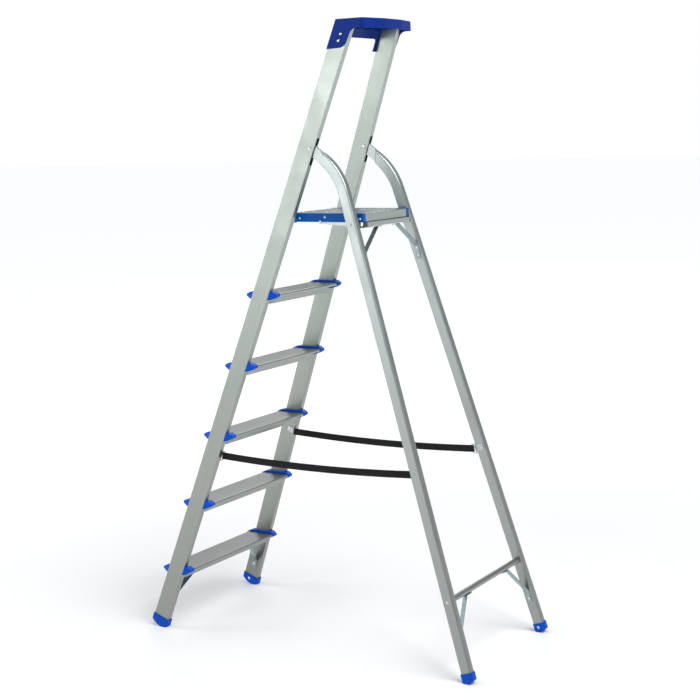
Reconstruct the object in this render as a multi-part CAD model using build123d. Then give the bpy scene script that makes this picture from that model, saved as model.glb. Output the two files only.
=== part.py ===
from build123d import *
import os
from math import sin, cos, tan, atan2, degrees, radians, hypot

# Aluminium platform step ladder with five treads, a folding platform and a tool tray.
# Frame: +Z up, X across the ladder, the user climbs facing +Y. The origin is on the
# floor, midway between the outermost points of the four feet. Millimetres and degrees.

os.makedirs("parts", exist_ok=True)

# ---- driving dimensions: the front frame -------------------------------------------------
FRONT_Y = -578.03         # where the stile centre line meets the floor
TILT_F = 20.4             # stile lean from the vertical, top towards +Y
HALF_F = 272.0            # outer half width of the stiles at the floor
TAPER_F = 0.0645          # how fast that half width shrinks with height
STILE_D, STILE_T, STILE_WALL = 57.0, 20.0, 2.0
STILE_BOTTOM = 17.0       # height of the square cut at the bottom
STILE_TOP = 1937.4        # height of the level cut under the tray

# ---- driving dimensions: the rear frame --------------------------------------------------
SPREAD = 1163.0           # distance between the two centre lines on the floor
TILT_R = 17.2             # leg lean from the vertical, top towards -Y
HALF_R = 269.0
TAPER_R = 0.065
LEG_D, LEG_T, LEG_WALL, LEG_R = 34.0, 25.0, 1.8, 5.0
LEG_BOTTOM = 13.0
BEND_R, BEND = 200.0, 36.0                  # the arch that meets the stile
TONGUE_T, TONGUE_IN = 9.0, 0.9              # flattened leg end: thickness, offset from mid stile
SLOT_UP, SLOT_DOWN, SLOT_W = 38.0, 49.0, 14.0
MEMBER_Y, MEMBER_Z = 759.0, 1348.3          # cross member: front edge (from FRONT_Y) and top
MEMBER_D, MEMBER_H, MEMBER_HALF = 17.0, 13.5, 129.0
CROSSBAR_Z, CROSSBAR_R = 237.0, 9.5

# ---- driving dimensions: pivots ----------------------------------------------------------
PIVOT_Z, PIVOT_BACK = 1573.0, 17.0          # leg pivot: height, distance behind the centre line
LINK_Z = 1343.0           # link pivot on the leg's centre line
HINGE_Y, HINGE_Z = 524.6, 1355.0            # platform hinge, Y counted from FRONT_Y
LINK_AT, LINK_AT_Z = 612.8, 1350.9          # link pivot on the platform, Y from FRONT_Y
PIN_R, PIN_FIT = 4.0, 0.05
LINK_X0, LINK_X1, LINK_H = 134.0, 138.0, 16.0
LINK_PIN_R = 3.0

# ---- driving dimensions: treads, platform, tray ------------------------------------------
TREADS, TREAD_1_Z, TREAD_RISE = 5, 202.0, 230.0
TREAD_FRONT, TREAD_BACK = 53.0, 54.0        # reach ahead of and behind the centre line
TREAD_TOP, NOSE_H, NOSE_R = 3.0, 9.5, 4.6   # top above the reference height, rounded nosings
WEB_Y, WEB_LOW = 22.0, 29.0                 # webs below the deck: half spacing, depth
TREAD_WALL = 2.2
RIB_COUNT, RIB_SPAN = 14, 91.0
CAP_T = 8.0               # plastic end plate between tread and stile
BRACE_X, BRACE_BACK = 125.0, 7.5            # rivet under the lowest tread
PLAT_TOP, PLAT_H = 1375.0, 26.0
PLAT_FRONT, PLAT_REAR = 489.0, 766.5        # Y from FRONT_Y
PLAT_HALF, SIDE_W = 142.0, 15.0             # half width, width of the side mouldings
PLAT_WALL, PLAT_RIBS = 2.4, 30
POCKET_X0, POCKET_X1 = 132.6, 140.0         # slot in the side moulding that houses the link
TRAY_TOP, TRAY_FLOOR, TRAY_WALL = 1956.0, 1938.0, 2.2

# ---- driving dimensions: spreader straps -------------------------------------------------
STRAP_Z_F, STRAP_Z_R = 604.8, 605.4         # heights on the centre lines of stile and leg
STRAP_W, STRAP_T, STRAP_SAG = 23.0, 1.8, 11.0
RING_W, RING_H, RING_R = 9.0, 31.0, 1.5
RING_F, RING_B = 27.5, -21.0                # ring centres behind the members' centre lines
CLIP_IN, CLIP_T, CLIP_H = 3.45, 2.0, 20.0   # ring plane inside the member's face, clip leaf
SCREW_F, SCREW_R = 8.0, 1.5                 # clip rivets behind the centre lines

GAP = 0.2                 # room between parts that only stand against each other
FACE, LEG_FACE = STILE_T / 2, LEG_T / 2
tf, tr = radians(TILT_F), radians(TILT_R)
REAR_Y = FRONT_Y + SPREAD


class Member:
    """A leaning member: its centre line, and the directions along, across and out of it."""

    def __init__(self, half, thick, taper, y0, slope):
        self.x0, self.y0 = half - thick / 2, y0
        self.taper, self.slope, self.thick = taper, slope, thick
        along = Vector(-taper, slope, 1)
        self.stretch = along.length
        self.along = along.normalized()
        lean = atan2(slope, 1)
        self.back = Vector(0, cos(lean), -sin(lean))
        self.out = self.back.cross(self.along)

    def at(self, z):
        return Vector(self.x0 - self.taper * z, self.y0 + self.slope * z, z)

    def section(self, z):
        """Plane square to the member, local x towards the back."""
        return Plane(origin=self.at(z), x_dir=self.back, z_dir=self.along)

    def side(self, z, out=0.0):
        """Plane of the member's side, local x towards the back, local y along it."""
        return Plane(origin=self.at(z) + self.out * out, x_dir=self.back, z_dir=self.out)

    def spot(self, z, back=0.0, out=0.0):
        return self.at(z) + self.back * back + self.out * out

    def x_at(self, y, z, out=0.0):
        """X of the plane parallel to the member's side, over the point at y, z."""
        n, p = self.out, self.at(0) + self.out * out
        return p.X - (n.Y * (y - p.Y) + n.Z * (z - p.Z)) / n.X


FRONT = Member(HALF_F, STILE_T, TAPER_F, FRONT_Y, tan(tf))
REAR = Member(HALF_R, LEG_T, TAPER_R, REAR_Y, -tan(tr))

# pivot points in the YZ plane
PIVOT = (FRONT_Y + PIVOT_Z * tan(tf) + PIVOT_BACK / cos(tf), PIVOT_Z)
LINK_LEG = (REAR_Y - LINK_Z * tan(tr), LINK_Z)
HINGE = (FRONT_Y + HINGE_Y, HINGE_Z)
LINK_PLAT = (FRONT_Y + LINK_AT, LINK_AT_Z)


# ---- helpers -----------------------------------------------------------------------------
def rod_x(yz, r, x0, x1):
    """Cylinder along X through the point yz."""
    return Pos((x0 + x1) / 2, yz[0], yz[1]) * Rot(0, 90, 0) * Cylinder(r, x1 - x0)


def block(x0, x1, y0, y1, z0, z1):
    return Pos((x0 + x1) / 2, (y0 + y1) / 2, (z0 + z1) / 2) * Box(x1 - x0, y1 - y0, z1 - z0)


def left_of(part):
    return mirror(part, about=Plane.YZ)


def rivet(at, out, head_r=5.0, head_h=2.2, shank_r=2.4, shank=6.0):
    """Domed rivet: the head stands on the surface at `at`, the shank goes in."""
    frame = Plane(origin=at, z_dir=out)
    ball_r = (head_r ** 2 + head_h ** 2) / (2 * head_h)
    dome = Pos(0, 0, head_h - ball_r) * Sphere(ball_r) & Pos(0, 0, head_h / 2) * Cylinder(head_r, head_h)
    stem = Pos(0, 0, 0.5 - shank / 2) * Cylinder(shank_r, shank + 1)
    return frame * (dome + stem)


def rivet_hole(at, out, shank_r=2.4, depth=7.0):
    """Cutter for the hole that a rivet's shank passes through, with a hair of room."""
    return Plane(origin=at, z_dir=out) * Pos(0, 0, 1 - depth / 2) * Cylinder(shank_r + 0.05, depth + 2)


def bent_strip(plane, points, thick, width):
    """Flat bar bent along points (x, y) of a plane, `width` wide across the plane."""
    bar = None
    for (xa, ya), (xb, yb) in zip(points, points[1:]):
        angle = degrees(atan2(yb - ya, xb - xa))
        run = Box(hypot(xb - xa, yb - ya), thick, width)
        run = Pos((xa + xb) / 2, (ya + yb) / 2, 0) * Rot(0, 0, angle) * run
        bar = run if bar is None else bar + run
    for x, y in points[1:-1]:
        bar += Pos(x, y, 0) * Cylinder(thick / 2, width)
    return plane * bar


def strut(member, low, high, x_inner, x_bend, foot, thick, width):
    """Flat steel strut in a leaning plane: pad under a beam, diagonal, foot on a member.

    low and high are (y, z) points that the plane passes through; the pad lies at high.
    foot is the (upper, lower) pair of heights of the foot on the member's inner face.
    """
    up = Vector(0, high[0] - low[0], high[1] - low[1])
    origin = Vector(0, *low)
    plane = Plane(origin=origin, x_dir=(1, 0, 0), z_dir=Vector(1, 0, 0).cross(up))
    rise = up.length / (high[1] - low[1])

    def on_face(z):
        y = low[0] + (high[0] - low[0]) * (z - low[1]) / (high[1] - low[1])
        return (member.x_at(y, z, out=-member.thick / 2 - thick / 2 - GAP), (z - low[1]) * rise)

    points = [(x_inner, up.length), (x_bend, up.length), on_face(foot[0]), on_face(foot[1])]
    return bent_strip(plane, points, thick, width)


parts = {}


def both(name, right):
    parts[f"{name}_right"] = right
    parts[f"{name}_left"] = left_of(right)


# ---- rivet places on the right-hand side -------------------------------------------------
STRIP_T = 2.5
HEAD_IN = STRIP_T + GAP + 0.1               # from a member's inner face to a head on a strip
TRAY_RIVETS = [(FRONT.spot(z, 0.0, FACE + TRAY_WALL + GAP), FRONT.out) for z in (1891, 1911)]
FOOT_F_RIVET = (FRONT.spot(20.5, -3.0, -FACE - 3.5), FRONT.out * -1)
BRACE_RIVET = (FRONT.spot(81.0, 1.5, -FACE - HEAD_IN), FRONT.out * -1)
FOOT_R_RIVET = (REAR.spot(17.5, -1.0, -LEG_FACE - 2.5), REAR.out * -1)
LOWER_BRACE_RIVET = (REAR.spot(113.0, 0.0, -LEG_FACE - HEAD_IN), REAR.out * -1)
STAY_RIVETS = [(REAR.spot(z, 2.0, -LEG_FACE - HEAD_IN), REAR.out * -1) for z in (1223, 1246)]
CROSSBAR_END = (REAR.spot(CROSSBAR_Z - 3.0, 0.0, LEG_FACE), REAR.out)
CLIP_F = (FRONT.spot(STRAP_Z_F, SCREW_F, -FACE - CLIP_T - 0.1), FRONT.out * -1)
CLIP_R = (REAR.spot(STRAP_Z_R, SCREW_R, -LEG_FACE - CLIP_T - 0.1), REAR.out * -1)


def tread_place(number):
    """Reference height of a tread, the Y of its middle, and X of the stile's inner face."""
    z = TREAD_1_Z + TREAD_RISE * (number - 1)
    y = FRONT.at(z).Y
    return y, z, FRONT.x_at(y, z, out=-FACE)


TREAD_1_Y = tread_place(1)[0]
BRACE_TOP = (Vector(BRACE_X, TREAD_1_Y + BRACE_BACK, TREAD_1_Z + TREAD_TOP + 0.05), Vector(0, 0, 1))


# ---- front frame: stiles and feet --------------------------------------------------------
def stile():
    tube = RectangleRounded(STILE_D, STILE_T, 2.0)
    bore = RectangleRounded(STILE_D - 2 * STILE_WALL, STILE_T - 2 * STILE_WALL, 1.0)
    length = (STILE_TOP + 20 - STILE_BOTTOM) * FRONT.stretch
    body = extrude(FRONT.section(STILE_BOTTOM) * (tube - bore), length)
    body -= block(0, 300, -600, 600, STILE_TOP, STILE_TOP + 100)
    # slot in the rear wall, where the flattened end of the rear leg enters
    mid = PIVOT_Z + PIVOT_BACK * sin(tf) + (SLOT_UP - SLOT_DOWN) / 2 / FRONT.stretch
    slot = Pos(STILE_D / 2, 0, 0) * Box(3 * STILE_WALL, SLOT_W, SLOT_UP + SLOT_DOWN)
    body -= FRONT.section(mid) * slot
    x = FRONT.x_at(*PIVOT)
    body -= rod_x(PIVOT, PIN_R + PIN_FIT, x - STILE_T, x + STILE_T)
    x = FRONT.x_at(*HINGE, out=-FACE)
    body -= rod_x(HINGE, PIN_R + PIN_FIT, x - 5, x + 5)
    for at, out in TRAY_RIVETS:
        body -= rivet_hole(at, out, depth=9)
    for at, out in (FOOT_F_RIVET, BRACE_RIVET, CLIP_F):
        body -= rivet_hole(at, out)
    return body


def shoe(member, length, corner, wall, height, sole_r, drop, contact, hole, bottom):
    """Plastic foot: a socket round the member and a rounded sole with a short flat."""
    outer = RectangleRounded(length + 2 * wall, member.thick + 2 * wall, corner + 0.6 * wall)
    body = extrude(member.section(-20) * outer, (height + 20) * member.stretch)
    sole = block(150, 350, contact - 120, contact + 120, -80, sole_r - drop)
    body -= sole - rod_x((contact, sole_r - drop), sole_r, 140, 360)
    body -= block(150, 350, contact - 120, contact + 120, -80, 0)
    socket = RectangleRounded(length + 2 * GAP, member.thick + 2 * GAP, corner + 0.1)
    body -= extrude(member.section(bottom) * socket, 80)
    return body - rivet_hole(*hole)


def foot_front():
    return shoe(FRONT, STILE_D, 2.0, 3.3, 34.0, 54.0, 0.6, FRONT_Y + 25.5, FOOT_F_RIVET, STILE_BOTTOM)


def foot_rear():
    contact = REAR.at(28.0).Y
    return shoe(REAR, LEG_D, LEG_R, 2.5, 30.0, 28.0, 0.5, contact, FOOT_R_RIVET, LEG_BOTTOM)


# ---- front frame: treads -----------------------------------------------------------------
def tread_profile(y_mid, z_ref):
    """Ribbed deck with rounded nosings over two webs with inward flanges."""
    w = TREAD_WALL
    top, nose, low = z_ref + TREAD_TOP, z_ref + TREAD_TOP - NOSE_H, z_ref - WEB_LOW
    y0, y1 = y_mid - TREAD_FRONT, y_mid + TREAD_BACK
    deck = Pos((y0 + y1) / 2, (top + nose) / 2) * Rectangle(y1 - y0, NOSE_H)
    deck = fillet(deck.vertices(), NOSE_R)
    deck -= Pos((y0 + y1) / 2, (top + nose) / 2 - w) * Rectangle(y1 - y0 - 2 * NOSE_R - 2, NOSE_H)
    for sign in (-1, 1):
        web = Pos(y_mid + sign * (WEB_Y - w / 2), (top - 1 + low) / 2) * Rectangle(w, top - 1 - low)
        flange = Pos(y_mid + sign * (WEB_Y - 4), low + w / 2) * Rectangle(8, w)
        deck += web + flange
    for i in range(RIB_COUNT):
        y = y_mid + RIB_SPAN * (i / (RIB_COUNT - 1) - 0.5)
        deck += Pos(y, top + 0.2) * Rectangle(1.8, 1.2)
    return Plane.YZ * deck


def tread(number):
    y, z, inner = tread_place(number)
    half = inner - CAP_T - 0.05
    body = Pos(-half, 0, 0) * extrude(tread_profile(y, z), 2 * half)
    # the webs run on under the end caps to the stiles
    web_top = z - CAP_LOW - 0.4
    for side in (-1, 1):
        for sign in (-1, 1):
            x0, x1 = sorted((side * (half - 2), side * (inner - 0.4)))
            y0, y1 = sorted((y + sign * (WEB_Y - TREAD_WALL), y + sign * WEB_Y))
            body += block(x0, x1, y0, y1, z - WEB_LOW, web_top)
    if number == 1:
        at, out = BRACE_TOP
        for x in (-at.X, at.X):
            body -= rivet_hole(Vector(x, at.Y, at.Z), out, depth=8)
            body -= Pos(x, at.Y, at.Z + 1) * Cylinder(4.3, 2)
    return body


CAP_LOW = 15.0
LOBE_REACH = 57.8         # tips of the caps ahead of and behind the middle


def tread_cap(number):
    """End cap of a tread: it grips the stile between two lobes and plugs the tread."""
    y, z, inner = tread_place(number)
    upper = [(-LOBE_REACH, 2.5), (-43, 9.0), (-36, 10.5), (42, 10.5), (LOBE_REACH, 3.5)]
    lower = [(LOBE_REACH, -4), (41, -12.5), (32, -CAP_LOW), (-33, -CAP_LOW), (-45, -11), (-LOBE_REACH, -4)]
    sheet = make_face(Polyline(*upper, *lower, close=True))
    sheet = fillet(sheet.vertices(), 2.2)
    x0 = inner - CAP_T
    body = extrude(Pos(x0, y, z) * (Plane.YZ * sheet), CAP_T + 26.0)
    envelope = RectangleRounded(STILE_D + 2 * GAP, STILE_T + 2 * GAP, 2.0)
    body -= extrude(FRONT.section(z - 60) * envelope, 120 * FRONT.stretch)
    # the outer side: flush with the stile, and drawn in towards the two tips
    body -= FRONT.side(z, out=FACE - 0.7) * Pos(0, 0, 40) * Box(400, 400, 80)
    outer = inner + STILE_T
    for sign in (-1, 1):
        corner = [(outer + 30, y + sign * 28), (outer, y + sign * 28), (outer - 11, y + sign * 63),
                  (outer + 30, y + sign * 63)]
        body -= Pos(0, 0, z - 40) * extrude(make_face(Polyline(*corner, close=True)), 80)
    body = max(body.solids(), key=lambda piece: piece.volume)
    inside = WEB_Y - TREAD_WALL - 0.6
    plug = block(x0 - 16, x0 + 1, y - inside, y + inside, z - 13, z)
    plug -= block(x0 - 17, x0 - 0.5, y - inside + 3, y + inside - 3, z - 14, z - 3)
    groove = block(x0 - 1, x0 + 1.2, y - 46, y + 46, z + 5.2, z + 6.8)
    return body + plug - groove


def tread_brace():
    """Steel strut from under the lowest tread down to the stile."""
    low = FRONT.spot(81.0, 1.5)
    under = TREAD_1_Z + TREAD_TOP - TREAD_WALL - STRIP_T / 2 - 0.1
    pad_y = TREAD_1_Y + BRACE_BACK
    body = strut(FRONT, (low.Y, low.Z), (pad_y, under - 6.0), 136.0, 143.0, (95, 68), STRIP_T, 18.0)
    pad = block(112, 139, pad_y - 9, pad_y + 9, under - STRIP_T / 2, under + STRIP_T / 2)
    knee = block(136, 139.5, pad_y - 9, pad_y + 9, under - 7.0, under + STRIP_T / 2)
    body = body + pad + knee
    body -= rivet_hole(*BRACE_TOP, depth=8)
    return body - rivet_hole(*BRACE_RIVET)


# ---- front frame: tray -------------------------------------------------------------------
def tray_side():
    """Outline of the tray seen from the side, as a face in the YZ plane."""
    y = FRONT_Y
    cheek_low, band_low, rear = 1869.0, 1927.0, y + 814
    apron = (-STILE_D / 2 - TRAY_WALL - GAP) / cos(tf)
    front_low, front_top = FRONT.at(cheek_low).Y + apron, FRONT.at(TRAY_TOP).Y + apron
    lines = [
        Line((front_low, cheek_low), (y + 700, 1870.5)),
        ThreePointArc((y + 700, 1870.5), (y + 722, 1877), (y + 734, 1893)),
        Line((y + 734, 1893), (y + 740, 1906)),
        ThreePointArc((y + 740, 1906), (y + 748, 1919), (y + 764, band_low)),
        Line((y + 764, band_low), (rear, band_low)),
        Line((rear, band_low), (rear, TRAY_TOP)),
        Line((rear, TRAY_TOP), (front_top, TRAY_TOP)),
        Line((front_top, TRAY_TOP), (front_low, cheek_low)),
    ]
    return make_face(Wire(lines))


def tray_plan(inset):
    """Plan of the tray with its five-sided rear band, moved in by `inset`."""
    y = FRONT_Y - inset
    rear = [(200, y + 779), (150, y + 787), (50, y + 808)]
    front = [(-200, y + 600), (200, y + 600)]
    return make_face(Polyline(*rear, *[(-px, py) for px, py in reversed(rear)], *front, close=True))


def between_cheeks(inset):
    """Everything between the two slanted side planes, `inset` inside the cheeks' outsides."""
    side = FRONT.side(1900, out=FACE + TRAY_WALL + GAP - inset)
    right = side * Pos(0, 0, -450) * Box(900, 900, 900)
    return right & left_of(right)


def rounded_ends(body, radius):
    """Round the two upright edges where the rear band meets the cheeks' planes."""
    def at_corner(edge):
        middle = edge.center()
        return abs(middle.X) > 135 and middle.Y > FRONT_Y + 775 and edge.length > 20
    upright = [edge for edge in body.edges() if at_corner(edge) and abs(edge.tangent_at(0.5).Z) > 0.9]
    return fillet(upright, radius)


def top_tray():
    """Moulded head: recessed tray, rear band, cheeks outside the stiles, front apron."""
    wall = TRAY_WALL
    body = Pos(-200, 0, 0) * extrude(Plane.YZ * tray_side(), 400)
    body &= Pos(0, 0, 1800) * extrude(tray_plan(0), 300)
    body = rounded_ends(body & between_cheeks(0), 10.0)
    inside = Pos(0, 0, 1800) * extrude(tray_plan(wall), 300) & between_cheeks(wall)
    inside = rounded_ends(inside, 8.0)
    front_face = FRONT.at(1900) + FRONT.back * (-STILE_D / 2 - GAP)
    apron_plane = Plane(origin=(0, front_face.Y, front_face.Z), x_dir=(1, 0, 0), z_dir=FRONT.back)
    inside &= apron_plane * Pos(0, 0, 450) * Box(900, 900, 900)
    body -= inside & block(-300, 300, -900, 900, 1700, TRAY_FLOOR)
    body -= inside & block(-300, 300, -900, 900, TRAY_FLOOR + wall, 2000)
    # opening in the apron between the stiles
    gap = Plane(origin=(0, front_face.Y + 30, 1847), x_dir=(1, 0, 0), z_dir=(0, -1, 0))
    body -= gap * extrude(RectangleRounded(232, 120, 10), 90)
    for x in (-60, 0, 60):
        body += block(x - 1.2, x + 1.2, FRONT_Y + 704, FRONT_Y + 800, TRAY_FLOOR - 8, TRAY_FLOOR + 0.5)
    rim = body.edges().filter_by_position(Axis.Z, TRAY_TOP - 0.01, TRAY_TOP + 0.01)
    body = fillet(rim, 0.8)
    for at, out in TRAY_RIVETS:
        body -= rivet_hole(at, out, depth=9)
        body -= rivet_hole(Vector(-at.X, at.Y, at.Z), Vector(-out.X, out.Y, out.Z), depth=9)
    return body


# ---- front frame: pivots -----------------------------------------------------------------
def leg_pivot_pin():
    """Rivet through both walls of the stile: the rear leg turns on it."""
    x = FRONT.x_at(*PIVOT)
    slack = 0.45
    shank = rod_x(PIVOT, PIN_R, x - FACE - slack - 1, x + FACE + slack + 1)
    heads = rivet((x + FACE + slack, *PIVOT), (1, 0, 0), 6.5, 2.8, PIN_R, 1.0)
    heads += rivet((x - FACE - slack, *PIVOT), (-1, 0, 0), 6.5, 2.4, PIN_R, 1.0)
    return shank + heads


def platform_pin():
    """Pin from the stile's inner wall into the platform's side moulding."""
    x = FRONT.x_at(*HINGE, out=-FACE)
    pin = rod_x(HINGE, PIN_R, PLAT_HALF - SIDE_W + 0.5, x + 6)
    return pin + rod_x(HINGE, 6.5, x + STILE_WALL + 0.6, x + 5)


def platform_bush():
    """Plastic spacer sleeve between the stile and the platform."""
    x = FRONT.x_at(*HINGE, out=-FACE)
    sleeve = rod_x(HINGE, 8.0, PLAT_HALF + 0.3, x - 0.6)
    return sleeve - rod_x(HINGE, PIN_R + PIN_FIT, PLAT_HALF - 5, x + 5)


# ---- spreader straps ---------------------------------------------------------------------
def strap_ring(member, z, back):
    """Rectangular wire loop standing in the plane of the strap."""
    tall, wide = RING_H / 2, RING_W / 2
    ring = None
    for sx in (-1, 1):
        bar = Pos(sx * wide, 0, 0) * Rot(90, 0, 0) * Cylinder(RING_R, RING_H)
        ring = bar if ring is None else ring + bar
    for sy in (-1, 1):
        ring += Pos(0, sy * tall, 0) * Rot(0, 90, 0) * Cylinder(RING_R, RING_W)
        for sx in (-1, 1):
            ring += Pos(sx * wide, sy * tall, 0) * Sphere(RING_R)
    return member.side(z, out=-member.thick / 2 - CLIP_IN) * Pos(back, 0, 0) * ring


def strap_clip(member, z, rivet_back, ring_bar, way, screw):
    """Steel clip on the member's inner face, rolled round one bar of the ring."""
    end = rivet_back - way * 9.0
    lo, hi = min(end, ring_bar), max(end, ring_bar)
    barrel_r = CLIP_IN - 0.05
    leaf = Pos((lo + hi) / 2, 0, -CLIP_T / 2) * Box(hi - lo, CLIP_H, CLIP_T)
    barrel = Pos(ring_bar, 0, -barrel_r) * Rot(90, 0, 0) * Cylinder(barrel_r, CLIP_H)
    bore = Pos(ring_bar, 0, -barrel_r) * Rot(90, 0, 0) * Cylinder(RING_R + 0.1, CLIP_H + 2)
    return member.side(z, out=-member.thick / 2 - 0.05) * (leaf + barrel - bore) - rivet_hole(*screw)


def strap():
    """Webbing strap, edge on, sagging a little between its two rings."""
    clear = RING_W / 2 + RING_R + 0.8
    a = FRONT.spot(STRAP_Z_F, RING_F + clear, -FACE - CLIP_IN)
    b = REAR.spot(STRAP_Z_R, RING_B - clear, -LEG_FACE - CLIP_IN)
    along = Vector(b.X - a.X, b.Y - a.Y, 0)
    plane = Plane(origin=a, x_dir=along, z_dir=along.cross(Vector(0, 0, 1)))
    span, rise, half = along.length, b.Z - a.Z, STRAP_W / 2
    lines = []
    ends = []
    for up in (half, -half):
        # the ends are cut parallel to the rings, which lean with their members
        start, stop = (up * tan(tf), up), (span - up * tan(tr), rise + up)
        lines.append(ThreePointArc(start, (span / 2, rise / 2 - STRAP_SAG + up), stop))
        ends += [start, stop]
    lines.append(Line(ends[0], ends[2]))
    lines.append(Line(ends[1], ends[3]))
    return extrude(plane * make_face(Wire(lines)), STRAP_T / 2, both=True)


# ---- rear frame: legs --------------------------------------------------------------------
def leg_arch():
    """Places of the bent leg's centre line in its side plane, as (back, along) pairs."""
    to_pivot = Vector(0, PIVOT[0] - REAR_Y, PIVOT[1])
    climb = to_pivot.dot(Vector(0, -sin(tr), cos(tr)))
    off = -to_pivot.dot(REAR.back)
    bend = radians(BEND)
    tail = (off - BEND_R * (1 - cos(bend))) / sin(bend)
    start = climb - BEND_R * sin(bend) - tail * cos(bend)
    return start, bend, tail


def rear_leg():
    """Rounded tube, arched at the top, with its end flattened to a tongue on the pivot."""
    start, bend, tail = leg_arch()
    side = REAR.side(0)
    bottom = LEG_BOTTOM * REAR.stretch

    def on_arc(angle):
        return (-BEND_R + BEND_R * cos(angle), start + BEND_R * sin(angle))

    reach = tail + 4.0
    tip = (on_arc(bend)[0] - reach * sin(bend), on_arc(bend)[1] + reach * cos(bend))
    hollow = bend * 0.62                    # the tube is solid from here to the tongue
    whole = [Line((0, bottom), (0, start)), ThreePointArc((0, start), on_arc(bend / 2), on_arc(bend))]
    whole.append(Line(on_arc(bend), tip))
    bore = [Line((0, bottom - 5), (0, start)), ThreePointArc((0, start), on_arc(hollow / 2), on_arc(hollow))]
    outer = RectangleRounded(LEG_D, LEG_T, LEG_R)
    inner = RectangleRounded(LEG_D - 2 * LEG_WALL, LEG_T - 2 * LEG_WALL, LEG_R - LEG_WALL)
    cut_end = Plane(origin=side.from_local_coords((0, bottom, 0)), x_dir=REAR.back, z_dir=REAR.along)
    below = Plane(origin=side.from_local_coords((0, bottom - 5, 0)), x_dir=REAR.back, z_dir=REAR.along)
    body = sweep(cut_end * outer, path=side * Wire(whole))
    body -= sweep(below * inner, path=side * Wire(bore))
    body = flatten_end(body, side)

    x = FRONT.x_at(*PIVOT)
    body -= rod_x(PIVOT, PIN_R + PIN_FIT, x - 40, x + 40)
    x = REAR.x_at(*LINK_LEG)
    body -= rod_x(LINK_LEG, LINK_PIN_R + 0.05, x - 40, x + 40)
    bar = REAR.spot(CROSSBAR_Z, 0.0, -LEG_FACE)
    body -= rod_x((bar.Y, bar.Z), CROSSBAR_R + 0.1, bar.X - 10, bar.X + 8)
    for at, out in (FOOT_R_RIVET, LOWER_BRACE_RIVET, *STAY_RIVETS, CROSSBAR_END, CLIP_R):
        body -= rivet_hole(at, out)
    return body


def flatten_end(body, side):
    """Cut both faces of the leg's end down to the tongue, along a slanted crimp line."""
    pivot = side.to_local_coords(Vector(REAR.x_at(*PIVOT), *PIVOT))
    bend = radians(BEND)
    ux, uy = -sin(bend), cos(bend)          # towards the tip
    vx, vy = cos(bend), sin(bend)           # towards the back of the arch

    def mark(down, across):
        return (pivot.X - ux * down + vx * across, pivot.Y - uy * down + vy * across)

    crimp = make_face(Polyline(mark(26, 30), mark(62, -30), mark(-40, -30), mark(-40, 30), close=True))
    middle = FRONT.x_at(*PIVOT) - REAR.x_at(*PIVOT) - TONGUE_IN
    body -= side * extrude(Pos(0, 0, middle + TONGUE_T / 2) * crimp, 20, taper=-38)
    body -= side * extrude(Pos(0, 0, middle - TONGUE_T / 2) * crimp, -24, taper=-38)
    beyond = make_face(Polyline(mark(0, 40), mark(0, -40), mark(-60, -40), mark(-60, 40), close=True))
    body -= side * extrude(Pos(0, 0, -40) * beyond, 80)
    return body + side * Pos(pivot.X, pivot.Y, middle) * Cylinder(LEG_D / 2, TONGUE_T)


# ---- rear frame: cross members and braces ------------------------------------------------
def lower_crossbar():
    place = REAR.spot(CROSSBAR_Z, 0.0, -LEG_FACE)
    half = place.X + 6
    yz = (place.Y, place.Z)
    return rod_x(yz, CROSSBAR_R, -half, half) - rod_x(yz, CROSSBAR_R - 1.5, -half - 1, half + 1)


def lower_brace():
    """Strut from under the lower crossbar down to the leg."""
    thick = 2.4
    bar = REAR.spot(CROSSBAR_Z, 0.0, -LEG_FACE)
    low = REAR.spot(113.0)
    up = Vector(0, -sin(tr), cos(tr))
    high = Vector(0, bar.Y, bar.Z) - up * (CROSSBAR_R + thick / 2 + GAP)
    body = strut(REAR, (low.Y, low.Z), (high.Y, high.Z), 112, 144, (138, 101), thick, 14.0)
    return body - rivet_hole(*LOWER_BRACE_RIVET)


def upper_cross_member():
    """Channel that carries the platform's rear edge, on shelves that reach to the legs."""
    wall, y0, z1 = 2.0, FRONT_Y + MEMBER_Y, MEMBER_Z
    y1, z0 = y0 + MEMBER_D, z1 - MEMBER_H
    half = MEMBER_HALF
    body = block(-half, half, y0, y1, z0, z1)
    body -= block(wall - half, half - wall, y0 + wall, y1 - wall, z0 - 1, z1 - wall)
    shelf_y0, reach = y0 - 22, REAR.x_at(y0, z0, out=-LEG_FACE) - 2.2
    shelf = block(96, reach, shelf_y0, y1, z0 - wall, z0 + 0.01)
    tab = REAR.side(LINK_Z, out=-LEG_FACE - 0.05) * Pos(2, 0, -wall / 2) * Box(22, 27, wall)
    shelf += tab
    shelf -= rod_x(LINK_LEG, LINK_PIN_R + 0.05, 140, 180)
    return body + shelf + left_of(shelf)


def upper_stay():
    """Strut from under the cross member's shelf down to the leg."""
    thick = 2.4
    low = REAR.spot(1223, 2.0)
    under = MEMBER_Z - MEMBER_H - 2.0 - thick / 2 - GAP
    high_y = FRONT_Y + MEMBER_Y + MEMBER_D / 2
    body = strut(REAR, (low.Y, low.Z), (high_y, under), 44, 64, (1258, 1212), thick, 16.0)
    for at, out in STAY_RIVETS:
        body -= rivet_hole(at, out)
    return body


def link_pin():
    """Rivet through the leg. It stops just short of the link, which may swing clear of it."""
    x_out = REAR.x_at(*LINK_LEG, out=LEG_FACE)
    pin = rod_x(LINK_LEG, LINK_PIN_R, LINK_X1 + 0.35, x_out + 1.0)
    return pin + rivet((x_out + 0.4, *LINK_LEG), (1, 0, 0), 5.0, 2.2, LINK_PIN_R, 1.0)


def link_spacer():
    x_in = REAR.x_at(*LINK_LEG, out=-LEG_FACE) - 2.0
    tube = rod_x(LINK_LEG, 5.0, LINK_X1 + 0.3, x_in - 0.6)
    return tube - rod_x(LINK_LEG, LINK_PIN_R + 0.05, LINK_X0, x_in + 5)


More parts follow.
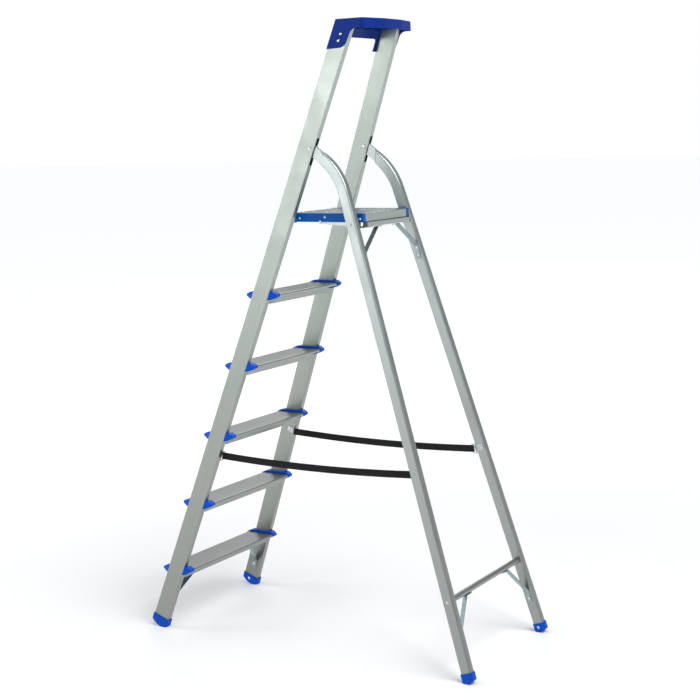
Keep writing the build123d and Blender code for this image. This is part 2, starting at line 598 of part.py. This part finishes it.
# ---- platform ----------------------------------------------------------------------------
def platform_panel():
    """Ribbed deck: an inverted channel across the ladder, with two stiffeners below."""
    w = PLAT_WALL
    y0, y1 = FRONT_Y + PLAT_FRONT, FRONT_Y + PLAT_REAR
    top, low = PLAT_TOP, PLAT_TOP - PLAT_H
    face = Pos((y0 + y1) / 2, (top + low) / 2) * Rectangle(y1 - y0, PLAT_H)
    face = fillet(face.vertices(), 2.0)
    face -= Pos((y0 + y1) / 2, (top + low) / 2 - w) * Rectangle(y1 - y0 - 2 * w, PLAT_H)
    for edge, sign in ((y0, 1), (y1, -1)):
        face += Pos(edge + sign * 6.0, low + w / 2) * Rectangle(8.0, w)
    for part_way in (0.34, 0.67):
        face += Pos(y0 + (y1 - y0) * part_way, (top + low) / 2 + 3) * Rectangle(w, PLAT_H - 8)
    for i in range(PLAT_RIBS):
        y = y0 + 9 + (y1 - y0 - 18) * i / (PLAT_RIBS - 1)
        face += Pos(y, top + 0.2) * Rectangle(2.4, 1.2)
    half = PLAT_HALF - SIDE_W - 0.05
    return Pos(-half, 0, 0) * extrude(Plane.YZ * face, 2 * half)


def platform_side():
    """Plastic side moulding: a boss for the hinge pin and a slot that houses the link."""
    y0, y1 = FRONT_Y + PLAT_FRONT - 1.5, FRONT_Y + PLAT_REAR + 1.5
    low, top = PLAT_TOP - PLAT_H, PLAT_TOP + 1.2
    body = block(PLAT_HALF - SIDE_W, PLAT_HALF, y0, y1, low, top)
    corners = body.edges().filter_by(Axis.Z).filter_by_position(Axis.X, PLAT_HALF - 0.1, PLAT_HALF + 0.1)
    body = fillet(corners, 4.0)
    body = fillet(body.edges().filter_by_position(Axis.Z, top - 0.01, top + 0.01), 0.8)
    body -= block(POCKET_X0, POCKET_X1, HINGE[0] + 14, y1 - 5, low - 1, top - 3.5)
    body -= rod_x(HINGE, PIN_R + PIN_FIT, PLAT_HALF - SIDE_W - 1, PLAT_HALF + 1)
    for at, out in SIDE_RIVETS:
        body -= rivet_hole(at, out, depth=2.6)
    return body - rivet_hole(*LINK_RIVET, shank_r=LINK_PIN_R, depth=13.6)


# heads on the outer face, front to back, and the rivet that the link turns on
SIDE_RIVETS = []
for side_y, side_z in ((HINGE[0] + 12.5, HINGE_Z + 5), (FRONT_Y + 630, 1364.5), (FRONT_Y + 757, 1359)):
    SIDE_RIVETS.append((Vector(PLAT_HALF, side_y, side_z), Vector(1, 0, 0)))
LINK_RIVET = (Vector(PLAT_HALF, *LINK_PLAT), Vector(1, 0, 0))


def link():
    """Flat bar from the platform to the leg's link pivot, with the rivet's inner head."""
    (y0, z0), (y1, z1) = LINK_PLAT, LINK_LEG
    angle = degrees(atan2(z1 - z0, y1 - y0))
    bar = SlotCenterToCenter(hypot(y1 - y0, z1 - z0), LINK_H)
    bar = Pos((y0 + y1) / 2, (z0 + z1) / 2) * Rot(0, 0, angle) * bar
    body = Pos(LINK_X0, 0, 0) * extrude(Plane.YZ * bar, LINK_X1 - LINK_X0)
    body += rivet((LINK_X0, *LINK_LEG), (-1, 0, 0), 5.0, 1.1, LINK_PIN_R, 1.0)
    return body - rod_x(LINK_PLAT, LINK_PIN_R + PIN_FIT, LINK_X0 - 2, LINK_X1 + 2)


# ---- build every node --------------------------------------------------------------------
def rivets(places, **sizes):
    """Equal rivets on the right-hand side and their mirror images."""
    heads = [rivet(at, out, **sizes) for at, out in places]
    return heads + [left_of(head) for head in heads]


both("stile", stile())
both("foot_front", foot_front())
for number in range(1, TREADS + 1):
    parts[f"tread_{number}"] = tread(number)
    both(f"tread_cap_{number}", tread_cap(number))
both("tread_brace", tread_brace())
parts["top_tray"] = top_tray()
both("leg_pivot_pin", leg_pivot_pin())
both("platform_pin", platform_pin())
both("platform_bush", platform_bush())
both("strap_ring_front", strap_ring(FRONT, STRAP_Z_F, RING_F))
both("strap_clip_front", strap_clip(FRONT, STRAP_Z_F, SCREW_F, RING_F - RING_W / 2, 1, CLIP_F))
both("strap", strap())
front_rivets = rivets(TRAY_RIVETS, head_r=4.2) + rivets([FOOT_F_RIVET, BRACE_RIVET, CLIP_F])
front_rivets += rivets([BRACE_TOP], head_r=4.0, head_h=1.2)
parts["rivets_front"] = Compound(children=front_rivets)

both("rear_leg", rear_leg())
both("foot_rear", foot_rear())
parts["lower_crossbar"] = lower_crossbar()
parts["upper_cross_member"] = upper_cross_member()
both("lower_brace", lower_brace())
both("upper_stay", upper_stay())
both("strap_ring_rear", strap_ring(REAR, STRAP_Z_R, RING_B))
both("strap_clip_rear", strap_clip(REAR, STRAP_Z_R, SCREW_R, RING_B + RING_W / 2, -1, CLIP_R))
both("link_pin", link_pin())
parts["link_spacers"] = Compound(children=[link_spacer(), left_of(link_spacer())])
rear_places = [FOOT_R_RIVET, LOWER_BRACE_RIVET, *STAY_RIVETS, CROSSBAR_END, CLIP_R]
parts["rivets_rear"] = Compound(children=rivets(rear_places, head_r=4.4))

parts["platform_panel"] = platform_panel()
both("platform_side", platform_side())
side_heads = rivets(SIDE_RIVETS, head_r=3.8, head_h=1.8, shank=1.6)
side_heads += rivets([LINK_RIVET], head_r=4.4, head_h=2.0, shank_r=LINK_PIN_R, shank=13.5)
parts["rivets_platform"] = Compound(children=side_heads)
both("link", link())

for node, shape in parts.items():
    export_step(shape, f"parts/{node}.step")
box = Compound(children=list(parts.values())).bounding_box()
print(len(parts), "nodes", box.min, box.max)
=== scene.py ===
from math import cos, pi, radians, sin

import bpy
from mathutils import Matrix, Vector


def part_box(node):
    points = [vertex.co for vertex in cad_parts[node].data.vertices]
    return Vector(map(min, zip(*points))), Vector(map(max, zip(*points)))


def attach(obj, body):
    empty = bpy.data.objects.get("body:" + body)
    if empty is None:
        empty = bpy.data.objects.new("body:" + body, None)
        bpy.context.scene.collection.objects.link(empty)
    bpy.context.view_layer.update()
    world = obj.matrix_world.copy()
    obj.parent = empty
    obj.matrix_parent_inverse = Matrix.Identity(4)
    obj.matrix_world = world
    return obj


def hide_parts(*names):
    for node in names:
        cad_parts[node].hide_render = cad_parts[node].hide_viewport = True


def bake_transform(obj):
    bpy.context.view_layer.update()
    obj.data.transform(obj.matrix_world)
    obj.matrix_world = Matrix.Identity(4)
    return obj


# Aluminium platform step ladder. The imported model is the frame: X across the ladder,
# +Y the way a climber faces, +Z up, metres.

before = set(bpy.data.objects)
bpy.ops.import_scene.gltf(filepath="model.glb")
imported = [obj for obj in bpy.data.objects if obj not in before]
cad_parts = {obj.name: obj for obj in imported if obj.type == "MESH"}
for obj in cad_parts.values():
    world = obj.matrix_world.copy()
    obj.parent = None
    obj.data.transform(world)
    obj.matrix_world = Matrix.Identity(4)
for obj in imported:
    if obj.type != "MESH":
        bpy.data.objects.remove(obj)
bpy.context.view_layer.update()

# ---- sizes and places the looks depend on ----------------------------------------------------
TILT_FRONT = radians(20.4)       # lean of the stiles, top towards +Y
TILT_REAR = radians(-17.2)       # lean of the rear legs, top towards -Y
TAPER = 0.0645                   # how fast both frames narrow with height
SIDES = {"right": 1, "left": -1}

RING_WIRE = 0.0015               # radius of the wire loops' wire
WEB_WIDTH, WEB_THICK = 0.0225, 0.0015
WEB_EDGE = 0.0004                # how far the webbing's rounded edges reach in
WEB_SAG = 0.0105                 # drop in the middle of the span
TAIL = 0.046                     # webbing folded back and sewn behind each wire loop
TURN_ROOM = 0.00015              # between the webbing and the wire that it turns round
TURN_CLOSES = 0.016              # from a wire, where the two layers have closed up
LEAN_FADES = 0.12                # from a wire, where the webbing stands upright again
TAIL_STEPS, TURN_STEPS, SPAN_STEPS = 14, 12, 120

RIB_PITCH, RIB_ZIGZAG, PICK_PITCH = 0.0023, 0.0011, 0.0016      # the webbing's weave

STITCH_BOX = 0.026, 0.0155       # length and height of the sewn box
STITCH_BOX_AT = 0.0118           # from the wire loop's bar to the box
STITCH_PITCH, STITCH_HALF, STITCH_WIDE, STITCH_RISE = 0.0026, 0.001, 0.00045, 0.00022
# outline of one stitch: along, across and height, in the three sizes above
STITCH_OUTLINE = ((-1, 0, 0), (-0.55, 0.5, 0.6), (0, 0.62, 1), (0.55, 0.5, 0.6),
                  (1, 0, 0), (0.55, -0.5, 0.6), (0, -0.62, 1), (-0.55, -0.5, 0.6))

CAMERA_AT = Vector((3.9893, 2.5181, 1.6312))
CAMERA_YAW, CAMERA_PITCH, CAMERA_ROLL = 0.5556, 0.1481, -0.0292
CAMERA_LENS, CAMERA_SENSOR, CAMERA_REACH = 76.31, 36.0, 200.0

PAINTED_SHADE = 0.84                      # share of painted shade, a darker tone, on the metal at the floor
PAINTED_SHADE_FROM, PAINTED_SHADE_TO = 0.1, 1.9    # heights between which that share falls to nothing
PAINTED_SHADE_TONE = (0.98, 1.0, 0.95)    # the painted shade's hue, before it is darkened

FLOOR_HALF = 60.0
GLOW_FROM, GLOW_TO, GLOW = 1.5, 8.0, 0.60       # distances and strength of the floor's own light
# name, place, aim, size, power
LIGHTS = [
    ("key", (1.0, 3.6, 6.0), (0, 0, 0.6), (4.0, 4.0), 330),
    ("side", (5.2, -2.6, 2.4), (0, 0, 1.0), (1.6, 2.6), 40),
    ("back", (-4.6, -2.8, 3.4), (0, 0, 1.0), (3.0, 2.4), 60),
    ("front", (1.2, -5.2, 2.6), (0, 0, 0.9), (3.0, 3.0), 110),
]
AIR, AIR_STRENGTH = (0.93, 0.97, 1.0, 1), 0.42
WHITE = (1, 1, 1, 1)


# ---- node helpers ----------------------------------------------------------------------------
class Graph:
    """A material's node tree, with short calls for the nodes that the finishes share."""

    def __init__(self, name):
        self.material = bpy.data.materials.new(name)
        self.material.use_nodes = True
        self.nodes = self.material.node_tree.nodes
        self.links = self.material.node_tree.links
        self.shader = self.nodes["Principled BSDF"]
        self.place = self.nodes.new("ShaderNodeTexCoord").outputs["Object"]

    def put(self, socket, value):
        if isinstance(value, bpy.types.NodeSocket):
            self.links.new(value, socket)
        elif isinstance(value, (tuple, list, Vector)) and len(value) == 3 and socket.type == "RGBA":
            socket.default_value = (*value, 1)
        else:
            socket.default_value = value

    def math(self, operation, a, b=0.0):
        node = self.nodes.new("ShaderNodeMath")
        node.operation = operation
        self.put(node.inputs[0], a)
        self.put(node.inputs[1], b)
        return node.outputs[0]

    def dot(self, direction):
        node = self.nodes.new("ShaderNodeVectorMath")
        node.operation = "DOT_PRODUCT"
        self.put(node.inputs[0], self.place)
        node.inputs[1].default_value = direction
        return node.outputs["Value"]

    def combine(self, x, y, z):
        node = self.nodes.new("ShaderNodeCombineXYZ")
        for socket, value in zip(node.inputs, (x, y, z)):
            self.put(socket, value)
        return node.outputs[0]

    def noise(self, scale, detail=3.0, rough=0.55, source=None):
        node = self.nodes.new("ShaderNodeTexNoise")
        self.put(node.inputs["Vector"], source or self.place)
        node.inputs["Scale"].default_value = scale
        node.inputs["Detail"].default_value = detail
        node.inputs["Roughness"].default_value = rough
        return node.outputs["Fac"]

    def cells(self, scale):
        node = self.nodes.new("ShaderNodeTexVoronoi")
        self.put(node.inputs["Vector"], self.place)
        node.inputs["Scale"].default_value = scale
        return node.outputs

    def between(self, value, low, high, out_low=0.0, out_high=1.0):
        node = self.nodes.new("ShaderNodeMapRange")
        for socket, number in zip(node.inputs, (value, low, high, out_low, out_high)):
            self.put(socket, number)
        return node.outputs[0]

    def blend(self, how_much, a, b):
        node = self.nodes.new("ShaderNodeMix")
        node.data_type = "RGBA"
        self.put(node.inputs["Factor"], how_much)
        self.put(node.inputs["A"], a)
        self.put(node.inputs["B"], b)
        return node.outputs["Result"]

    def bump(self, height, strength, distance, normal=None):
        node = self.nodes.new("ShaderNodeBump")
        node.inputs["Strength"].default_value = strength
        node.inputs["Distance"].default_value = distance
        self.put(node.inputs["Height"], height)
        if normal is not None:
            self.put(node.inputs["Normal"], normal)
        return node.outputs[0]

    def finish(self, colour, roughness, normal=None, metal=0.0):
        self.put(self.shader.inputs["Base Color"], colour)
        self.put(self.shader.inputs["Roughness"], roughness)
        self.shader.inputs["Metallic"].default_value = metal
        if normal is not None:
            self.put(self.shader.inputs["Normal"], normal)
        return self.material


# ---- materials -------------------------------------------------------------------------------
def times(colour, factor):
    """The colour made lighter or darker."""
    return [c * factor for c in colour]


def drawn_metal(name, colour, lean=None, roughness=0.36):
    """Mill-finish aluminium: die lines along the section, a dull bloom, small marks, and painted shade
    that darkens it towards the floor.

    lean is the member's angle in the YZ plane; with None the section runs along X.
    """
    g = Graph(name)
    if lean is None:
        along, back, third = g.dot((1, 0, 0)), g.dot((0, 1, 0)), g.dot((0, 0, 1))
    else:
        along = g.dot((0, sin(lean), cos(lean)))
        back = g.dot((0, cos(lean), -sin(lean)))
        third = g.math("ADD", g.math("ABSOLUTE", g.dot((1, 0, 0))),
                       g.math("MULTIPLY", g.dot((0, 0, 1)), TAPER))

    def streaks(length, width, rough):
        """Noise drawn out along the section."""
        stretched = g.combine(g.math("MULTIPLY", along, length), g.math("MULTIPLY", back, width),
                              g.math("MULTIPLY", third, width))
        return g.noise(1.0, 2.0, rough, stretched)

    lines, broad = streaks(5.0, 900.0, 0.6), streaks(1.2, 90.0, 0.5)
    bloom = g.noise(9.0, 4.0)
    marks = g.between(g.noise(160.0, 2.0, 0.7), 0.66, 0.78)
    tone = g.blend(g.between(lines, 0.3, 0.7), times(colour, 0.86), times(colour, 1.10))
    tone = g.blend(g.between(broad, 0.35, 0.65, 0.0, 0.45), tone, times(colour, 0.93))
    tone = g.blend(g.math("MULTIPLY", marks, 0.35), tone, times(colour, 0.62))
    # painted shade: a darker tone towards the floor, set by height on the ladder alone
    height = g.math("ADD", g.dot((0, 0, 1)), g.between(bloom, 0.3, 0.7, -0.06, 0.06))
    share = g.between(height, PAINTED_SHADE_FROM, PAINTED_SHADE_TO, PAINTED_SHADE, 0.0)
    tone = g.blend(share, tone, times(PAINTED_SHADE_TONE, 0.30))
    rough = g.math("ADD", g.between(bloom, 0.3, 0.7, roughness - 0.05, roughness + 0.08),
                   g.between(lines, 0.3, 0.7, -0.03, 0.04))
    normal = g.bump(lines, 0.35, 0.00008)
    normal = g.bump(bloom, 0.15, 0.0006, normal)
    return g.finish(tone, rough, normal, metal=1.0)


def moulded(name, colour, roughness=0.42, grain=0.00006):
    """Moulded plastic: fine spark texture, faint flow marks and lighter scuffs."""
    g = Graph(name)
    spark = g.noise(2600.0, 2.0, 0.6)
    flow = g.noise(14.0, 3.0)
    scuff = g.between(g.noise(75.0, 5.0, 0.75), 0.62, 0.74)
    pale = [c * 0.82 + 0.05 for c in colour]
    tone = g.blend(g.between(flow, 0.3, 0.7), times(colour, 0.86), times(colour, 1.12))
    tone = g.blend(g.math("MULTIPLY", scuff, 0.16), tone, pale)
    rough = g.math("ADD", g.between(flow, 0.3, 0.7, roughness - 0.05, roughness + 0.06),
                   g.math("MULTIPLY", scuff, 0.12))
    normal = g.bump(spark, 0.5, grain)
    normal = g.bump(flow, 0.1, 0.0008, normal)
    g.shader.inputs["Specular IOR Level"].default_value = 0.12
    return g.finish(tone, rough, normal)


def plated_steel(name, colour, roughness=0.34, crystal=140.0):
    """Plated or bare metal fitting with a faint crystal pattern and dull patches."""
    g = Graph(name)
    grey = g.noise(1.0, 2.0, 0.5, g.cells(crystal)["Color"])
    fine = g.noise(900.0, 2.0)
    tone = g.blend(g.between(grey, 0.35, 0.65), times(colour, 0.84), times(colour, 1.12))
    tone = g.blend(g.between(g.noise(30.0, 4.0), 0.5, 0.8, 0.0, 0.4), tone, times(colour, 0.75))
    rough = g.between(grey, 0.3, 0.7, roughness - 0.06, roughness + 0.1)
    return g.finish(tone, rough, g.bump(fine, 0.25, 0.00006), metal=1.0)


def woven(name, colour):
    """Webbing: zigzag ribs along the band, fine picks across it, fuzz and paler worn patches."""
    g = Graph(name)
    uv = g.nodes.new("ShaderNodeUVMap")
    uv.uv_map = "weave"
    split = g.nodes.new("ShaderNodeSeparateXYZ")
    g.put(split.inputs[0], uv.outputs[0])
    along, across = split.outputs[0], split.outputs[1]
    ribs = g.math("SINE", g.math("MULTIPLY", across, 2 * pi / RIB_PITCH))
    zigzag = g.math("MULTIPLY", g.math("ABSOLUTE", ribs), RIB_ZIGZAG)
    picks = g.math("SINE", g.math("MULTIPLY", g.math("ADD", along, zigzag), 2 * pi / PICK_PITCH))
    weave = g.math("MULTIPLY", g.math("ADD", ribs, 1.3), g.math("ADD", picks, 1.4))
    fuzz = g.noise(1500.0, 3.0, 0.7)
    wear = g.noise(24.0, 4.0)
    tone = g.blend(g.between(weave, 0.2, 5.0), times(colour, 0.45), times(colour, 1.7))
    tone = g.blend(g.between(wear, 0.5, 0.75, 0.0, 0.35), tone, times(colour, 2.6))
    normal = g.bump(weave, 0.8, 0.00022)
    normal = g.bump(fuzz, 0.4, 0.0001, normal)
    g.shader.inputs["Sheen Weight"].default_value = 0.06
    g.shader.inputs["Specular IOR Level"].default_value = 0.25
    g.shader.inputs["Sheen Roughness"].default_value = 0.5
    return g.finish(tone, g.between(fuzz, 0.3, 0.7, 0.72, 0.9), normal)


def thread(name, colour):
    """Sewing thread with its twist."""
    g = Graph(name)
    twist = g.noise(4200.0, 2.0)
    tone = g.blend(g.between(twist, 0.3, 0.7), times(colour, 0.6), colour)
    return g.finish(tone, g.between(twist, 0.3, 0.7, 0.5, 0.75), g.bump(twist, 0.5, 0.0001))


STILE = drawn_metal("stile_extrusion", (0.430, 0.480, 0.440), TILT_FRONT)
LEG = drawn_metal("leg_tube", (0.520, 0.575, 0.560), TILT_REAR, 0.34)
ACROSS = drawn_metal("cross_extrusion", (0.500, 0.550, 0.535))
BRIGHT_BLUE = moulded("blue_moulding", (0.0005, 0.070, 0.50))
TRAY_BLUE = moulded("tray_moulding", (0.0010, 0.022, 0.205), 0.40)
SIDE_BLUE = moulded("side_moulding", (0.0012, 0.082, 0.36), 0.40)
BRACE = plated_steel("brace_zinc", (0.33, 0.41, 0.43))
ZINC = plated_steel("fitting_zinc", (0.52, 0.54, 0.55), 0.3, 260.0)
RIVET = plated_steel("rivet_aluminium", (0.68, 0.69, 0.69), 0.26, 500.0)
WEBBING = woven("black_webbing", (0.0042, 0.0042, 0.0055))
THREAD = thread("grey_thread", (0.035, 0.035, 0.04))

# the first name that a node starts with decides its finish
FINISHES = [
    ("stile_", STILE),
    ("rear_leg_", LEG),
    ("tread_cap_", BRIGHT_BLUE),
    ("foot_", BRIGHT_BLUE),
    ("tread_brace_", BRACE),
    ("lower_brace_", BRACE),
    ("upper_stay_", BRACE),
    ("tread_", ACROSS),
    ("platform_panel", ACROSS),
    ("lower_crossbar", ACROSS),
    ("upper_cross_member", ACROSS),
    ("top_tray", TRAY_BLUE),
    ("platform_side_", SIDE_BLUE),
    ("platform_bush_", SIDE_BLUE),
    ("rivets_", RIVET),
    ("leg_pivot_pin_", RIVET),
    ("link_", ZINC),
    ("platform_pin_", ZINC),
    ("strap_", ZINC),
]


def paint_nodes():
    for name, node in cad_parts.items():
        finish = next(material for start, material in FINISHES if name.startswith(start))
        node.data.materials.clear()
        node.data.materials.append(finish)


# ---- webbing straps --------------------------------------------------------------------------
def bar_of(ring, lean, way):
    """Middle of a wire loop's bar on the strap's side, and the bar's direction."""
    low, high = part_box(ring)
    along = Vector((0, sin(lean), cos(lean)))
    centre = (low + high) / 2
    # the loop leans, so its box is wider than the loop by the lean of its tall side
    tall = (high.z - low.z - 2 * RING_WIRE) / cos(lean)
    wide = (high.y - low.y - 2 * RING_WIRE) - abs(tall * sin(lean))
    return centre + Vector((0, way * wide / 2, 0)), along


def ribbon(name, points):
    """Mesh of a woven band: points are (centre, width direction, thickness direction, u)."""
    half, thin = WEB_WIDTH / 2, WEB_THICK / 2
    edge = [(half - WEB_EDGE, thin), (half, thin * 0.35), (half, -thin * 0.35), (half - WEB_EDGE, -thin)]
    face = [(half * f, -thin) for f in (0.6, 0.2, -0.2, -0.6)]
    section = edge + face + [(-a, -b) for a, b in edge + face]
    count = len(section)
    verts, faces, coords = [], [], []
    for centre, wide, thick, u in points:
        for a, b in section:
            verts.append(centre + wide * a + thick * b)
            coords.append((u, a))
    for i in range(len(points) - 1):
        for k in range(count):
            n = (k + 1) % count
            faces.append((i * count + k, i * count + n, (i + 1) * count + n, (i + 1) * count + k))
    faces.append(tuple(range(count)))
    last = (len(points) - 1) * count
    faces.append(tuple(last + k for k in reversed(range(count))))
    mesh = bpy.data.meshes.new(name)
    mesh.from_pydata(verts, [], faces)
    layer = mesh.uv_layers.new(name="weave")
    for loop in mesh.loops:
        layer.data[loop.index].uv = coords[loop.vertex_index]
    for polygon in mesh.polygons:
        polygon.use_smooth = True
    return mesh


def along_and_out(start, end, outward):
    """Direction from one bar to the other, and the outward direction square to it."""
    run = (end - start).normalized()
    return run, (outward - run * outward.dot(run)).normalized()


def strap_path(start, start_along, end, end_along, outward):
    """The webbing's line: sewn tail, turn round the first bar, sagging span, turn, tail."""
    run, thick = along_and_out(start, end, outward)
    turn = RING_WIRE + WEB_THICK / 2 + TURN_ROOM
    span = (end - start).length
    line = []

    def wide_at(f):
        """The webbing leans with each bar and stands upright in between."""
        near = max(0.0, 1 - f * span / LEAN_FADES)
        far = max(0.0, 1 - (1 - f) * span / LEAN_FADES)
        return (Vector((0, 0, 1)) + near * start_along + far * end_along).normalized()

    def place(distance, side):
        """A point of the outer layer, side 1, or of the tails on the inner side, side -1."""
        f = distance / span
        drop = 4 * WEB_SAG * f * (1 - f)
        closing = min(1.0, min(distance, span - distance) / TURN_CLOSES)
        closing = closing * closing * (3 - 2 * closing)
        off = turn + (WEB_THICK * 0.52 - turn) * closing
        return start + run * distance - Vector((0, 0, drop)) + thick * (off * side)

    def round_bar(bar, f, way):
        """Half a turn round a bar: way -1 at the start of the span, 1 at its end."""
        for i in range(1, TURN_STEPS):
            a = pi * i / TURN_STEPS
            spoke = (thick * cos(a) + run * sin(a)) * way
            line.append((bar + spoke * turn, wide_at(f), -spoke))

    for i in range(TAIL_STEPS + 1):
        d = TAIL * (1 - i / TAIL_STEPS)
        line.append((place(d, -1), wide_at(d / span), thick))
    round_bar(start, 0, -1)
    for i in range(SPAN_STEPS + 1):
        d = span * i / SPAN_STEPS
        line.append((place(d, 1), wide_at(d / span), -thick))
    round_bar(end, 1, 1)
    for i in range(TAIL_STEPS + 1):
        d = span - TAIL * i / TAIL_STEPS
        line.append((place(d, -1), wide_at(d / span), thick))
    return line


def stitches(start, run, wide, thick, side):
    """A box of stitches with a cross in it, through both layers of the sewn tail."""
    length, height = STITCH_BOX
    corners = [(0, -height / 2), (length, -height / 2), (length, height / 2), (0, height / 2)]
    runs = list(zip(corners, corners[1:] + corners[:1]))
    runs += [(corners[0], corners[2]), (corners[1], corners[3])]
    verts, faces = [], []
    for (xa, ya), (xb, yb) in runs:
        total = ((xb - xa) ** 2 + (yb - ya) ** 2) ** 0.5
        count = round(total / STITCH_PITCH)
        dx, dy = (xb - xa) / total, (yb - ya) / total
        for i in range(count):
            s = (i + 0.5) * total / count
            x, y = xa + dx * s, ya + dy * s
            base = len(verts)
            for t, w, h in STITCH_OUTLINE:
                px = x + dx * t * STITCH_HALF - dy * w * STITCH_WIDE
                py = y + dy * t * STITCH_HALF + dx * w * STITCH_WIDE
                lift = WEB_THICK * 1.02 + STITCH_RISE * h
                verts.append(start + run * (STITCH_BOX_AT + px) + wide * py + thick * (side * lift))
            loop = tuple(range(base, base + len(STITCH_OUTLINE)))
            faces.append(loop if side > 0 else loop[::-1])
    return verts, faces


def new_object(name, mesh, material):
    piece = bpy.data.objects.new(name, mesh)
    bpy.context.scene.collection.objects.link(piece)
    mesh.materials.append(material)
    return piece


def make_strap(side):
    """One strap with its sewn ends, in place of its CAD solid."""
    start, start_along = bar_of(f"strap_ring_front_{side}", TILT_FRONT, 1)
    end, end_along = bar_of(f"strap_ring_rear_{side}", TILT_REAR, -1)
    outward = Vector((SIDES[side], 0, 0))
    points = []
    u, before = 0.0, None
    for centre, wide, thick in strap_path(start, start_along, end, end_along, outward):
        u += (centre - before).length if before is not None else 0.0
        before = centre
        points.append((centre, wide, thick, u))
    band = new_object(f"webbing_{side}", ribbon(f"webbing_{side}", points), WEBBING)
    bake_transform(band)
    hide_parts(f"strap_{side}")

    run, thick = along_and_out(start, end, outward)
    for name, at, way, along, body in (("front", start, run, start_along, "front_frame"),
                                       ("rear", end, -run, end_along, "rear_frame")):
        verts, faces = [], []
        for face_side in (1, -1):
            more, loops = stitches(at, way, along, thick, face_side)
            faces += [tuple(index + len(verts) for index in loop) for loop in loops]
            verts += more
        mesh = bpy.data.meshes.new(f"stitching_{name}_{side}")
        mesh.from_pydata(verts, [], faces)
        sewn = new_object(f"stitching_{name}_{side}", mesh, THREAD)
        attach(sewn, body)


# ---- stage -----------------------------------------------------------------------------------
def floor():
    """Pale floor that also glows away from the ladder, so that it stays pale to the horizon."""
    g = Graph("pale_floor")
    speck = g.noise(60.0, 3.0)
    tone = g.blend(speck, (0.90, 0.90, 0.90), (0.94, 0.94, 0.94))
    material = g.finish(tone, 0.85)
    across, back = (g.math("POWER", g.dot(axis), 2.0) for axis in ((1, 0, 0), (0, 1, 0)))
    away = g.math("SQRT", g.math("ADD", across, back))
    g.shader.inputs["Emission Color"].default_value = WHITE
    g.put(g.shader.inputs["Emission Strength"], g.between(away, GLOW_FROM, GLOW_TO, 0.0, GLOW))
    corners = [(FLOOR_HALF * x, FLOOR_HALF * y, 0) for x, y in ((-1, -1), (1, -1), (1, 1), (-1, 1))]
    mesh = bpy.data.meshes.new("floor")
    mesh.from_pydata(corners, [], [(0, 1, 2, 3)])
    new_object("floor", mesh, material)


def area_light(name, at, aim, size, power):
    light = bpy.data.lights.new(name, "AREA")
    light.shape, light.size, light.size_y = "RECTANGLE", *size
    light.energy = power
    lamp = bpy.data.objects.new(name, light)
    bpy.context.scene.collection.objects.link(lamp)
    lamp.location = at
    lamp.rotation_euler = (Vector(aim) - Vector(at)).to_track_quat("-Z", "Y").to_euler()


def studio():
    """Soft lights and cool air round the ladder, in front of a backdrop that the camera sees white."""
    world = bpy.data.worlds.new("studio")
    bpy.context.scene.world = world
    world.use_nodes = True
    nodes, links = world.node_tree.nodes, world.node_tree.links
    air = nodes["Background"]
    air.inputs["Color"].default_value = AIR
    air.inputs["Strength"].default_value = AIR_STRENGTH
    backdrop = nodes.new("ShaderNodeBackground")
    backdrop.inputs["Color"].default_value = WHITE
    backdrop.inputs["Strength"].default_value = 1.0
    path, mix = nodes.new("ShaderNodeLightPath"), nodes.new("ShaderNodeMixShader")
    links.new(path.outputs["Is Camera Ray"], mix.inputs[0])
    links.new(air.outputs[0], mix.inputs[1])
    links.new(backdrop.outputs[0], mix.inputs[2])
    links.new(mix.outputs[0], nodes["World Output"].inputs["Surface"])
    for light in LIGHTS:
        area_light(*light)
    bpy.context.scene.view_settings.view_transform = "Standard"


def camera():
    """The photograph's view, turned by yaw, pitch and roll in radians."""
    forward = Vector((-cos(CAMERA_YAW) * cos(CAMERA_PITCH),
                      -sin(CAMERA_YAW) * cos(CAMERA_PITCH),
                      -sin(CAMERA_PITCH)))
    level = forward.cross(Vector((0, 0, 1))).normalized()
    upright = level.cross(forward)
    right = level * cos(CAMERA_ROLL) + upright * sin(CAMERA_ROLL)
    up = upright * cos(CAMERA_ROLL) - level * sin(CAMERA_ROLL)
    data = bpy.data.cameras.new("camera")
    data.lens, data.sensor_width = CAMERA_LENS, CAMERA_SENSOR
    data.clip_end = CAMERA_REACH
    eye = bpy.data.objects.new("camera", data)
    bpy.context.scene.collection.objects.link(eye)
    turned = Matrix((right, up, -forward)).transposed().to_4x4()
    eye.matrix_world = Matrix.Translation(CAMERA_AT) @ turned
    bpy.context.scene.camera = eye


camera()
studio()
floor()
paint_nodes()
for side in SIDES:
    make_strap(side)
